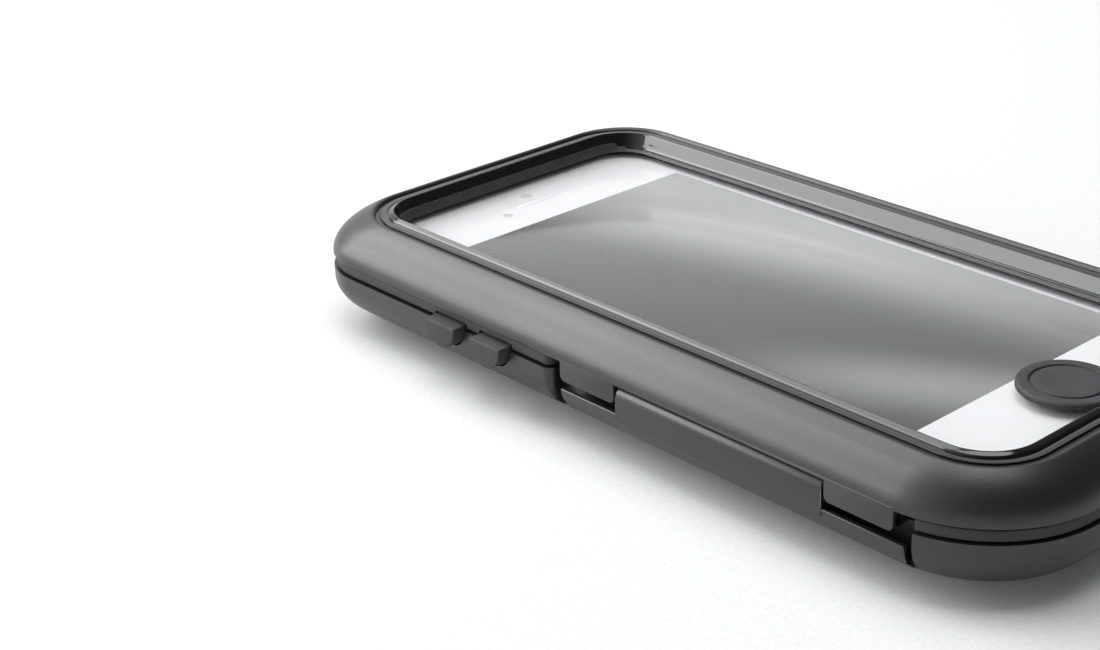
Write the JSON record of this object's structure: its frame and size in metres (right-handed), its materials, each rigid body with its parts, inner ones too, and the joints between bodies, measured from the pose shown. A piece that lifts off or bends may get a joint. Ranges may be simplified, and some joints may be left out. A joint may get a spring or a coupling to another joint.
{
  "type": "bicycle phone case",
  "caption": "Flat hard case with a clear framed window over a handset, side latch flap, side push buttons, home button and a rear mounting plate.",
  "frame": {"origin": "middle of the flat face of the rear mounting plate, on which the case lies", "axes": "+X along the handset towards its home button end, +Y across the case away from the latch, +Z out of the window"},
  "size_m": [0.1384, 0.0785, 0.0183],
  "materials": {
    "shell_plastic": "satin moulded black",
    "bezel_plastic": "polished black",
    "silicone": "matte silicone",
    "gasket": "matte foam",
    "film": "clear film",
    "steel": "plain",
    "phone_metal": "anodised",
    "phone_glass": "white under glass",
    "display_glass": "dark display",
    "lens_glass": "grey lens",
    "earpiece_mesh": "fine mesh"
  },
  "bodies": {
    "base": {"rear_shell": "shell_plastic", "mount_plate": "shell_plastic", "silicone_tray": "silicone", "hinge_pin": "steel", "plate_screw_1": "steel", "plate_screw_2": "steel", "plate_screw_3": "steel", "plate_screw_4": "steel", "phone_body": "phone_metal", "phone_volume_up_key": "phone_metal", "phone_volume_down_key": "phone_metal", "phone_face": "phone_glass", "phone_display": "display_glass", "phone_camera": "lens_glass", "phone_sensor": "lens_glass", "phone_earpiece": "earpiece_mesh"},
    "lid": {"front_frame": "shell_plastic", "bezel_ring": "bezel_plastic", "window_gasket": "gasket", "window_membrane": "film", "latch_pin": "steel"},
    "latch": {"latch_flap": "shell_plastic"},
    "volume_up": {"volume_up_button": "silicone"},
    "volume_down": {"volume_down_button": "silicone"},
    "home": {"home_button": "silicone"}
  },
  "joints": [
    {"name": "lid_hinge", "type": "hinge", "parent": "base", "child": "lid", "pos_m": [0, 0.0384, 0.0109], "axis": [-1, 0, 0], "range_deg": [0, 110]},
    {"name": "latch_hinge", "type": "hinge", "parent": "lid", "child": "latch", "pos_m": [0, -0.03465, 0.01035], "axis": [-1, 0, 0], "range_deg": [0, 95]},
    {"name": "volume_up_press", "type": "slide", "parent": "base", "child": "volume_up", "axis": [0, 1, 0], "range_m": [0, 0.0008], "stiffness_N_per_m": 2500},
    {"name": "volume_down_press", "type": "slide", "parent": "base", "child": "volume_down", "axis": [0, 1, 0], "range_m": [0, 0.0008], "stiffness_N_per_m": 2500},
    {"name": "home_press", "type": "slide", "parent": "lid", "child": "home", "axis": [0, 0, -1], "range_m": [0, 0.0004], "stiffness_N_per_m": 2500}
  ]
}
